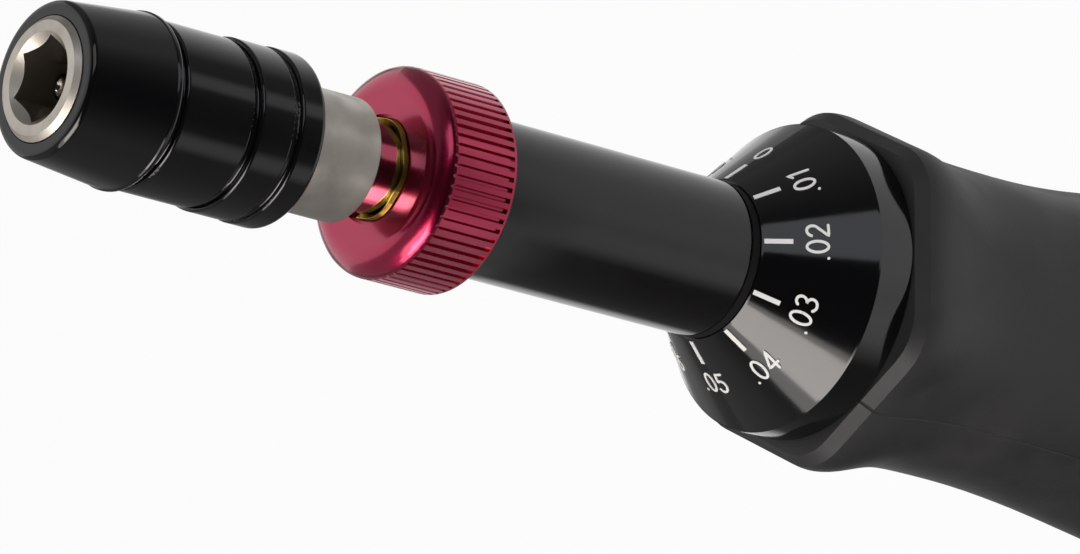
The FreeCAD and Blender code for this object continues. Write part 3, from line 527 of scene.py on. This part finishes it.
def numeral_mesh(text: str, height: float) -> bpy.types.Mesh:
    """Make a flat mesh of generic numerals, cut with a round-ended tool, centred on the origin.

    Args:
        text: digits and a point.
        height: height of a digit in metres.

    Returns:
        Mesh in the XY plane, with edges short enough to bend round a curve.
    """
    width = sum(advance(mark) for mark in text[:-1]) + DIGIT_WIDTH
    shape = bmesh.new()
    left = -width / 2
    for mark in text:
        for points in STROKES[mark]:
            fine = short_steps(points, LONGEST_STEP)
            pairs = [[shape.verts.new(((edge.x + left) * height, (edge.y - 0.5) * height, 0.0))
                      for edge in pair] for pair in stroke_corners(fine, STROKE_WIDTH / 2)]
            for (a, b), (c, d) in zip(pairs, pairs[1:]):
                shape.faces.new((a, b, d, c))
        left += advance(mark)
    mesh = bpy.data.meshes.new("numeral")
    shape.to_mesh(mesh)
    shape.free()
    return mesh


BAR_ROWS = 8                 # faces along and across a bar, so that it bends round a curve
BAR_COLUMNS = 4


def bar_mesh(width: float, length: float) -> bpy.types.Mesh:
    """Make a flat bar centred on the origin, along Y.

    Args:
        width: width of the bar in metres.
        length: length of the bar in metres.

    Returns:
        Mesh in the XY plane.
    """
    shape = bmesh.new()
    grid = [[shape.verts.new((width * (i / BAR_COLUMNS - 0.5), length * (j / BAR_ROWS - 0.5), 0.0))
             for i in range(BAR_COLUMNS + 1)] for j in range(BAR_ROWS + 1)]
    for j in range(BAR_ROWS):
        for i in range(BAR_COLUMNS):
            shape.faces.new((grid[j][i], grid[j][i + 1], grid[j + 1][i + 1], grid[j + 1][i]))
    mesh = bpy.data.meshes.new("bar")
    shape.to_mesh(mesh)
    shape.free()
    return mesh


def inlay(mesh: bpy.types.Mesh, bend: Callable[[float, float, float], Vector], proud: float,
          sunk: float) -> None:
    """Bend a flat mesh onto a surface and give it thickness.

    Args:
        mesh: flat mesh in the XY plane.
        bend: maps across, along and out of the surface, in metres, to a place in the frame.
        proud: how far its face stands out of the surface, in metres.
        sunk: how far its back lies under the surface, in metres.
    """
    shape = bmesh.new()
    shape.from_mesh(mesh)
    faces = list(shape.faces)
    result = bmesh.ops.extrude_face_region(shape, geom=faces)
    top = {v for v in result["geom"] if isinstance(v, bmesh.types.BMVert)}
    for vertex in shape.verts:
        out = proud if vertex in top else -sunk
        vertex.co = bend(vertex.co.x, vertex.co.y, out)
    bmesh.ops.recalc_face_normals(shape, faces=shape.faces)
    shape.to_mesh(mesh)
    shape.free()


# --- sub-assemblies -----------------------------------------------------------------------------
@dataclass
class SubAssembly:
    """Part of the tool whose CAD nodes get a finish, with fine pieces that ride on them."""

    nodes: dict[str, bpy.types.Object]
    body: str = ""
    finishes: dict[str, Finish] = field(default_factory=dict)

    def dress(self) -> None:
        """Give each CAD node its finish."""
        for name, finish in self.finishes.items():
            node = self.nodes[name]
            node.data.materials.clear()
            node.data.materials.append(finish.material())
            LOG.info("node %s: %s", name, finish.name)

    def ride(self, piece: bpy.types.Object, slot: str) -> bpy.types.Object:
        """Let a piece ride on this sub-assembly's body.

        Args:
            piece: the piece, in place.
            slot: name of a material slot; not used.

        Returns:
            The same piece.
        """
        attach(piece, self.body)
        LOG.info("piece %s rides on %s", piece.name, self.body)
        return piece


@dataclass
class Chuck(SubAssembly):
    """Spindle with its hex socket, and the quick-change sleeve round it."""

    body: str = "spindle"

    def build(self) -> None:
        """Dress the spindle and the sleeve."""
        self.finishes = {
            "spindle": NICKEL_STEEL, "bit_magnet": MAGNET_NICKEL, "detent_ball": POLISHED_STEEL,
            "chuck_sleeve": GLOSS_BLACK, "sleeve_cap": GLOSS_BLACK, "sleeve_spring": SPRING_WIRE}
        self.dress()


@dataclass
class LockGroup(SubAssembly):
    """Knurled ring, its snap ring and hub, and what they move inside."""

    body: str = "lock"

    def build(self) -> None:
        """Dress the lock group."""
        self.finishes = {
            "lock_ring": RED_ANODISED, "snap_ring": BRASS_WIRE, "front_hub": POLISHED_STEEL,
            "lock_pin": HARDENED_STEEL, "lock_spring": SPRING_WIRE, "drive_tube": HARDENED_STEEL}
        self.dress()


@dataclass
class Barrel(SubAssembly):
    """Plain barrel with its setting window and main scale on the far side."""

    body: str = "barrel"
    window_azimuth: float = 0.0
    scale_first_mm: float = 117.4
    scale_step_mm: float = 1.5
    scale_marks: int = 6
    mark_length_mm: float = 1.3
    mark_width_mm: float = 0.25
    mark_offset_mm: float = 1.9
    numeral_height_mm: float = 1.1
    numeral_gap_share: float = 0.8   # from the line's end to the numeral's middle, by its height
    proud_mm: float = 0.015
    sunk_mm: float = 0.05
    diameter_mm: float = 13.9

    def build(self) -> None:
        """Dress the barrel and mark its main scale beside the window."""
        self.finishes = {
            "barrel": SATIN_BLACK, "seal_ring": SEAL_RUBBER, "barrel_circlip": SPRING_WIRE,
            "thrust_ring": BEARING_BRONZE, "thrust_washer": BEARING_BRONZE}
        self.dress()
        for index in range(self.scale_marks):
            self.mark(index)

    def mark(self, index: int) -> None:
        """Add one line of the main scale and its numeral.

        Args:
            index: number of the line, from zero at the lowest setting.
        """
        height = (self.scale_first_mm + self.scale_step_mm * index) * MM
        line = bar_mesh(self.mark_width_mm * MM, self.mark_length_mm * MM)
        line.transform(Matrix.Rotation(math.pi / 2, 4, "Z"))
        offset = (self.mark_offset_mm + self.mark_length_mm / 2) * MM
        inlay(line, self.bend(offset, height), self.proud_mm * MM, self.sunk_mm * MM)
        self.ride(mesh_object(f"barrel_mark_{index + 1}", line, WHITE_ENAMEL), "black_barrel")
        numeral = numeral_mesh(f".{index + 1}", self.numeral_height_mm * MM)
        beyond = offset + (self.mark_length_mm / 2 + self.numeral_height_mm * self.numeral_gap_share) * MM
        inlay(numeral, self.bend(beyond, height), self.proud_mm * MM, self.sunk_mm * MM)
        self.ride(mesh_object(f"barrel_numeral_{index + 1}", numeral, WHITE_ENAMEL), "black_barrel")

    def bend(self, offset: float, height: float) -> Callable[[float, float, float], Vector]:
        """Make the bend onto the barrel.

        Args:
            offset: distance round from the window in metres.
            height: height above the butt in metres.

        Returns:
            Function that takes across, along and out of the surface to a place in the frame.
        """
        radius = self.diameter_mm / 2 * MM
        azimuth = math.radians(self.window_azimuth)
        return lambda x, y, out: on_axis(radius + out, azimuth + (offset + x) / radius, height + y)


@dataclass
class DialCone(SubAssembly):
    """Cone and rim with ten marks, numbered .01 to .09 round from zero."""

    body: str = "handle"
    cone_small_mm: float = 14.4
    cone_large_mm: float = 27.6
    cone_top_mm: float = 113.2
    cone_length_mm: float = 7.8
    marks: int = 10
    mark_start_mm: float = 0.12
    mark_length_mm: float = 2.5
    mark_width_mm: float = 0.42
    numeral_centre_mm: float = 4.75
    numeral_height_mm: float = 2.15
    proud_mm: float = 0.012
    sunk_mm: float = 0.06

    def build(self) -> None:
        """Dress the dial and engrave its scale."""
        self.finishes = {"dial": GLOSS_BLACK}
        self.dress()
        for index in range(self.marks):
            self.mark(index)

    def mark(self, index: int) -> None:
        """Add one line of the dial and its numeral.

        Args:
            index: number of hundredths that the line stands for.
        """
        azimuth = -2 * math.pi * index / self.marks
        line = bar_mesh(self.mark_width_mm * MM, self.mark_length_mm * MM)
        middle = (self.mark_start_mm + self.mark_length_mm / 2) * MM
        inlay(line, self.bend(azimuth, middle), self.proud_mm * MM, self.sunk_mm * MM)
        self.ride(mesh_object(f"dial_mark_{index:02d}", line, WHITE_ENAMEL), "black_dial")
        text = f".0{index}" if index else "0"
        numeral = numeral_mesh(text, self.numeral_height_mm * MM)
        inlay(numeral, self.bend(azimuth, self.numeral_centre_mm * MM), self.proud_mm * MM,
              self.sunk_mm * MM)
        self.ride(mesh_object(f"dial_numeral_{index:02d}", numeral, WHITE_ENAMEL), "black_dial")

    def bend(self, azimuth: float, down: float) -> Callable[[float, float, float], Vector]:
        """Make the bend onto the cone.

        Args:
            azimuth: angle from +X in radians.
            down: distance down the slope from the small end, in metres.

        Returns:
            Function that takes across, along and out of the surface to a place in the frame.
        """
        small = self.cone_small_mm / 2 * MM
        rise = self.cone_length_mm * MM
        spread = (self.cone_large_mm - self.cone_small_mm) / 2 * MM
        slope = math.hypot(rise, spread)
        along = Vector((spread / slope, -rise / slope))
        outward = Vector((rise / slope, spread / slope))
        top = self.cone_top_mm * MM

        def onto(x: float, y: float, out: float) -> Vector:
            """Place a point of the flat drawing on the cone."""
            distance = down - y
            radius = small + along.x * distance
            place = Vector((radius, top + along.y * distance)) + outward * out
            return on_axis(place.x, azimuth + x / radius, place.y)

        return onto


@dataclass
class Handle(SubAssembly):
    """Rubber grip on its nylon core, with the setting screw and the plug in the butt."""

    body: str = "handle"

    def build(self) -> None:
        """Dress the handle."""
        self.finishes = {
            "grip": GRIP_RUBBER, "handle_core": CORE_NYLON, "end_cap": CORE_NYLON,
            "friction_ring": BEARING_BRONZE, "setting_screw": HARDENED_STEEL,
            "screw_retainer": HARDENED_STEEL}
        self.dress()


@dataclass
class Clutch(SubAssembly):
    """Nut, torque spring and helical face-cam clutch."""

    body: str = "plate"

    def build(self) -> None:
        """Dress the clutch and the setting nut."""
        self.finishes = {
            "setting_nut": BEARING_BRONZE, "main_spring": SPRING_WIRE, "pressure_plate": HARDENED_STEEL,
            "drive_cam": HARDENED_STEEL, "cam_pin": HARDENED_STEEL}
        self.dress()


# --- studio -------------------------------------------------------------------------------------
class SeenBy(Enum):
    """Which rays see a lamp or a card."""

    REFLECTIONS = "reflections"
    MATT_SURFACES = "matt surfaces"
    ALL = "all"


@dataclass(frozen=True)
class View:
    """Direction of the camera round the tool, in degrees, and its lens."""

    azimuth: float = -94.3
    elevation: float = 38.154
    roll: float = -75.14
    lens_mm: float = 264.0
    sensor_mm: float = 36.0
    distance_mm: float = 677.7
    target_height_mm: float = 130.6
    target_side_mm: float = -5.2
    clip_start_m: float = 0.01
    clip_end_m: float = 100.0

    def axes(self) -> tuple[Vector, Vector, Vector]:
        """Return the camera's right, up and backward directions."""
        elevation = math.radians(self.elevation)
        roll = math.radians(self.roll)
        near, side = self.near_side()
        back = near * math.cos(elevation) + Vector((0.0, 0.0, math.sin(elevation)))
        level_up = back.cross(side)
        right = side * math.cos(roll) + level_up * math.sin(roll)
        return right, back.cross(right), back

    def near_side(self) -> tuple[Vector, Vector]:
        """Return the level direction to the camera and the one a quarter turn on from it."""
        azimuth = math.radians(self.azimuth)
        near = Vector((math.cos(azimuth), math.sin(azimuth), 0.0))
        return near, Vector((-near.y, near.x, 0.0))

    def camera(self) -> None:
        """Make the scene's camera."""
        right, up, back = self.axes()
        _, side = self.near_side()
        target = side * self.target_side_mm * MM + Vector((0.0, 0.0, self.target_height_mm * MM))
        lens = bpy.data.cameras.new("studio_camera")
        lens.lens = self.lens_mm
        lens.sensor_width = self.sensor_mm
        lens.clip_start = self.clip_start_m
        lens.clip_end = self.clip_end_m
        camera = bpy.data.objects.new("studio_camera", lens)
        bpy.context.scene.collection.objects.link(camera)
        place = Matrix((right, up, back)).transposed().to_4x4()
        place.translation = target + back * self.distance_mm * MM
        camera.matrix_world = place
        bpy.context.scene.camera = camera


@dataclass(frozen=True)
class Softbox:
    """Rectangular lamp, placed by its direction from the tool in near, side and height shares."""

    name: str
    direction: tuple[float, float, float]
    distance_mm: float
    width_mm: float
    height_mm: float
    radiance: float
    colour: str = "#FFFFFF"
    seen_by: SeenBy = SeenBy.ALL

    def place(self, view: View, target: Vector) -> None:
        """Make the lamp.

        Args:
            view: the camera's view, which the direction is given from.
            target: point that the lamp faces.
        """
        near, side = view.near_side()
        towards = near * self.direction[0] + side * self.direction[1]
        towards = (towards + Vector((0.0, 0.0, self.direction[2]))).normalized()
        lamp = bpy.data.lights.new(self.name, "AREA")
        lamp.shape = "RECTANGLE"
        lamp.size = self.width_mm * MM
        lamp.size_y = self.height_mm * MM
        lamp.energy = self.radiance * math.pi * lamp.size * lamp.size_y
        lamp.color = linear(self.colour)[:3]
        holder = bpy.data.objects.new(self.name, lamp)
        bpy.context.scene.collection.objects.link(holder)
        holder.location = target + towards * self.distance_mm * MM
        holder.rotation_mode = "QUATERNION"
        holder.rotation_quaternion = towards.to_track_quat("Z", "Y")
        holder.visible_camera = False
        holder.visible_glossy = self.seen_by is not SeenBy.MATT_SURFACES
        holder.visible_diffuse = self.seen_by is not SeenBy.REFLECTIONS


@dataclass(frozen=True)
class PaintedReflectionRing:
    """Ring of glowing sheet just above the floor whose grey changes with the direction from the tool.

    Black gloss only shows what it reflects, so the emitted greys of these rings paint its reflected bands.
    Each stop is a direction in degrees round from the camera's side, and the level there.
    """

    name: str
    inner_mm: float
    outer_mm: float
    stops: tuple[Point, ...]


@dataclass
class Studio:
    """Pale floor, soft lamps, glowing graded rings and a dome that paint the reflections, and the camera.
    """

    view: View = field(default_factory=View)
    floor_half_m: float = 8.0
    floor_level: float = 0.9
    glossy_world: float = 0.8
    matt_world: float = 0.55
    glow_sheet_level_mm: float = 1.5
    # Radius of the glowing dome that paints dark reflections.
    dome_radius_m: float = 3.0
    softboxes: Sequence[Softbox] = (
        Softbox("key_softbox", (0.376, -0.755, 0.537), 520.0, 270.0, 300.0, 4.6, "#FFF8F2"),
        Softbox("key_wing_softbox", (0.33, -0.80, 0.50), 640.0, 520.0, 640.0, 2.4, "#FFFAF6",
                SeenBy.REFLECTIONS),
        Softbox("top_softbox", (0.53, 0.61, 0.59), 620.0, 330.0, 420.0, 1.1, "#F4F7FF"),
        Softbox("fill_softbox", (-0.55, 0.25, 0.80), 900.0, 500.0, 500.0, 1.0, "#FFFFFF",
                SeenBy.MATT_SURFACES),
    )
    # Glowing rings just above the floor that only reflections see: painted reflections that draw the bands
    # on the black and metal parts.
    painted_reflection_rings: Sequence[PaintedReflectionRing] = (
        PaintedReflectionRing("painted_reflection_under_dial_and_barrel", 24.0, 180.0, (
            (-180, 0.95), (-142, 0.95), (-130, 0.13), (-60, 0.09), (-44, 0.10), (-37, 0.35),
            (-24, 0.85), (-10, 0.95), (6, 0.85), (26, 0.95), (80, 0.78), (120, 0.8), (150, 0.9),
            (180, 0.95))),
        PaintedReflectionRing("painted_reflection_under_ring_and_shaft", 180.0, 206.0, (
            (-180, 0.6), (-150, 0.5), (-130, 0.28), (-112, 0.45), (-90, 0.6), (-70, 0.85),
            (-50, 0.95), (-34, 0.9), (-14, 0.5), (6, 0.42), (26, 0.65), (50, 0.8), (76, 0.65),
            (100, 0.7), (130, 0.8), (180, 1.0))),
        PaintedReflectionRing("painted_reflection_under_sleeve", 206.0, 290.0, (
            (-180, 0.5), (-164, 0.3), (-150, 0.15), (-100, 0.16), (-60, 0.14), (-46, 0.14),
            (-36, 0.6), (-26, 0.6), (-16, 0.1), (0, 0.05), (24, 0.06), (40, 0.12), (46, 0.6),
            (56, 0.6), (64, 0.15), (84, 0.15), (100, 0.4), (120, 0.7), (140, 0.85), (180, 0.9))),
        PaintedReflectionRing("painted_reflection_in_front_of_sleeve", 290.0, 600.0, (
            (-180, 0.9), (-160, 0.3), (-130, 0.24), (-110, 0.19), (-90, 0.22), (-50, 0.24),
            (-30, 0.12), (-10, 0.04), (10, 0.02), (30, 0.05), (50, 0.14), (70, 0.33), (90, 0.3),
            (110, 0.37), (130, 0.4), (150, 0.45), (180, 0.9))),
        PaintedReflectionRing("painted_reflection_far_off", 600.0, 2900.0, ((-180, 0.2), (-90, 0.15), (0, 0.04), (90, 0.15),
                                                   (180, 0.2))),
    )
    glow_ring_columns: int = 120
    # Faintly glowing dome that only reflections see: painted dark reflections on the camera's side, grey
    # on its flanks.
    dome_columns: int = 36
    dome_rows: int = 8
    dome_half_turn: float = 146.0
    dome_stops: Sequence[Point] = (
        (-180, 0.3), (-110, 0.3), (-85, 0.08), (-60, 0.02), (60, 0.02), (85, 0.12), (110, 0.22),
        (180, 0.22))

    def build(self) -> None:
        """Set the stage."""
        bpy.context.scene.view_settings.view_transform = "Standard"
        self.world()
        self.floor()
        target = Vector((0.0, 0.0, self.view.target_height_mm * MM))
        for softbox in self.softboxes:
            softbox.place(self.view, target)
        # Painted reflections: glowing rings and a dome that only reflections see.
        for graded in self.painted_reflection_rings:
            self.lay_painted_reflection_ring(graded)
        self.lay_painted_reflection_dome()
        self.view.camera()

    def backdrop_share(self, tree: bpy.types.NodeTree) -> bpy.types.NodeSocket:
        """Tell the rays that show the background from the others.

        Args:
            tree: node tree to work in.

        Returns:
            Socket that is one for camera, glossy and transmission rays, and zero for the others.
        """
        path = add_node(tree, "ShaderNodeLightPath")
        first = add_node(tree, "ShaderNodeMath", {"operation": "MAXIMUM"},
                         {0: path.outputs["Is Camera Ray"], 1: path.outputs["Is Glossy Ray"]})
        return add_node(tree, "ShaderNodeMath", {"operation": "MAXIMUM"},
                        {0: first.outputs[0], 1: path.outputs["Is Transmission Ray"]}).outputs[0]

    def world(self) -> None:
        """Give the world an even light, white behind the tool and a little lower in reflections."""
        world = bpy.data.worlds.new("studio_world")
        bpy.context.scene.world = world
        world.use_nodes = True
        tree = world.node_tree
        tree.nodes.clear()
        seen = add_node(tree, "ShaderNodeMapRange", {"To Min": self.matt_world, "To Max": 1.0},
                        {"Value": self.backdrop_share(tree)})
        glossy = add_node(tree, "ShaderNodeLightPath").outputs["Is Glossy Ray"]
        lower = add_node(tree, "ShaderNodeMapRange", {"To Min": 1.0, "To Max": self.glossy_world},
                         {"Value": glossy})
        strength = add_node(tree, "ShaderNodeMath", {"operation": "MULTIPLY"},
                            {0: seen.outputs["Result"], 1: lower.outputs["Result"]})
        light = add_node(tree, "ShaderNodeBackground", {"Color": linear("#FFFFFF")},
                         {"Strength": strength.outputs[0]})
        add_node(tree, "ShaderNodeOutputWorld", None, {"Surface": light.outputs[0]})

    def floor(self) -> None:
        """Lay a plain white floor that keeps a trace of the shadow."""
        half = self.floor_half_m
        mesh = bpy.data.meshes.new("studio_floor")
        mesh.from_pydata([(-half, -half, 0), (half, -half, 0), (half, half, 0), (-half, half, 0)], [],
                         [(0, 1, 2, 3)])
        floor = bpy.data.objects.new("studio_floor", mesh)
        bpy.context.scene.collection.objects.link(floor)
        sheet_material = bpy.data.materials.new("white_paper")
        sheet_material.use_nodes = True
        tree = sheet_material.node_tree
        tree.nodes.clear()
        matt = add_node(tree, "ShaderNodeBsdfDiffuse", {"Color": linear("#F4F4F2")})
        glow = add_node(tree, "ShaderNodeEmission", {"Color": linear("#FFFFFF"), "Strength": 1.0})
        share = add_node(tree, "ShaderNodeMath", {"operation": "MULTIPLY", 1: self.floor_level},
                         {0: self.backdrop_share(tree)})
        mix = add_node(tree, "ShaderNodeMixShader", None,
                       {0: share.outputs[0], 1: matt.outputs[0], 2: glow.outputs[0]})
        add_node(tree, "ShaderNodeOutputMaterial", None, {"Surface": mix.outputs[0]})
        mesh.materials.append(sheet_material)

    def reflection_glow_material(self, name: str, stops: Sequence[Point]) -> bpy.types.Material:
        """Make a glowing material for a painted reflection, whose grey changes with the direction from the
        sheet's middle.

        Args:
            name: name of the material.
            stops: directions in degrees round from the sheet's own X axis, and the level at each.

        Returns:
            The material.
        """
        sheet_material = bpy.data.materials.new(name)
        sheet_material.use_nodes = True
        tree = sheet_material.node_tree
        tree.nodes.clear()
        place = add_node(tree, "ShaderNodeTexCoord").outputs["Object"]
        turn = add_node(tree, "ShaderNodeTexGradient", {"gradient_type": "RADIAL"}, {"Vector": place})
        ramp = add_node(tree, "ShaderNodeValToRGB", None, {"Fac": turn.outputs["Fac"]})
        elements = ramp.color_ramp.elements
        while len(elements) < len(stops):
            elements.new(0.5)
        for element, (direction, _) in zip(elements, stops):
            element.position = 0.5 + direction / 360
        for element, (_, level) in zip(elements, stops):
            element.color = (level, level, level, 1.0)
        # The grey is emitted, not lit: this is the painted reflection.
        glow = add_node(tree, "ShaderNodeEmission", {"Strength": 1.0}, {"Color": ramp.outputs["Color"]})
        add_node(tree, "ShaderNodeOutputMaterial", None, {"Surface": glow.outputs[0]})
        return sheet_material

    def lay_painted_reflection_ring(self, graded: PaintedReflectionRing) -> None:
        """Lay one glowing ring round the tool that paints the reflections.

        Args:
            graded: the ring's size and painted greys.
        """
        level = self.glow_sheet_level_mm * MM
        points = []
        for i in range(self.glow_ring_columns):
            angle = 2 * math.pi * i / self.glow_ring_columns
            points += [on_axis(radius * MM, angle, level) for radius in (graded.inner_mm, graded.outer_mm)]
        count = len(points)
        faces = [(i, i + 1, (i + 3) % count, (i + 2) % count) for i in range(0, count, 2)]
        self.reflection_only_sheet(graded.name, points, faces, self.reflection_glow_material(graded.name, graded.stops))

    def lay_painted_reflection_dome(self) -> None:
        """Stand a faintly glowing half dome on the camera's side that only reflections see: painted dark
        reflections, grey on its flanks.
        """
        columns, rows = self.dome_columns, self.dome_rows
        points = []
        for j in range(rows + 1):
            elevation = math.radians(90 * j / rows)
            for i in range(columns + 1):
                turn = math.radians(self.dome_half_turn * (2 * i / columns - 1))
                points.append(on_axis(self.dome_radius_m * math.cos(elevation), turn,
                                      self.dome_radius_m * math.sin(elevation)))
        faces = []
        for j in range(rows):
            for i in range(columns):
                a = j * (columns + 1) + i
                faces.append((a, a + 1, a + columns + 2, a + columns + 1))
        self.reflection_only_sheet("painted_reflection_dome", points, faces, self.reflection_glow_material("painted_reflection_dome", self.dome_stops))

    def reflection_only_sheet(self, name: str, points: Sequence[Vector], faces: Sequence[tuple[int, ...]],
             material: bpy.types.Material) -> None:
        """Make one glowing sheet that only reflections see, so that it paints them, drawn with its X axis
        towards the camera's side.

        Args:
            name: name of the glowing sheet.
            points: its corners in metres.
            faces: numbers of each face's corners.
            material: what it is made of.
        """
        mesh = bpy.data.meshes.new(name)
        mesh.from_pydata([tuple(p) for p in points], [], faces)
        mesh.materials.append(material)
        reflection_only_sheet = bpy.data.objects.new(name, mesh)
        bpy.context.scene.collection.objects.link(reflection_only_sheet)
        reflection_only_sheet.rotation_euler = (0.0, 0.0, math.radians(self.view.azimuth))
        for kind in ("camera", "diffuse", "shadow", "transmission"):
            setattr(reflection_only_sheet, f"visible_{kind}", False)


def main() -> None:
    """Build the studio and every sub-assembly."""
    logging.basicConfig(level=logging.INFO, format="%(name)s: %(message)s")
    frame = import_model()
    Studio().build()
    for kind in (Chuck, LockGroup, Barrel, DialCone, Handle, Clutch):
        kind(frame["nodes"]).build()
        LOG.info("built %s", kind.__name__)


if __name__ == "__main__":
    main()
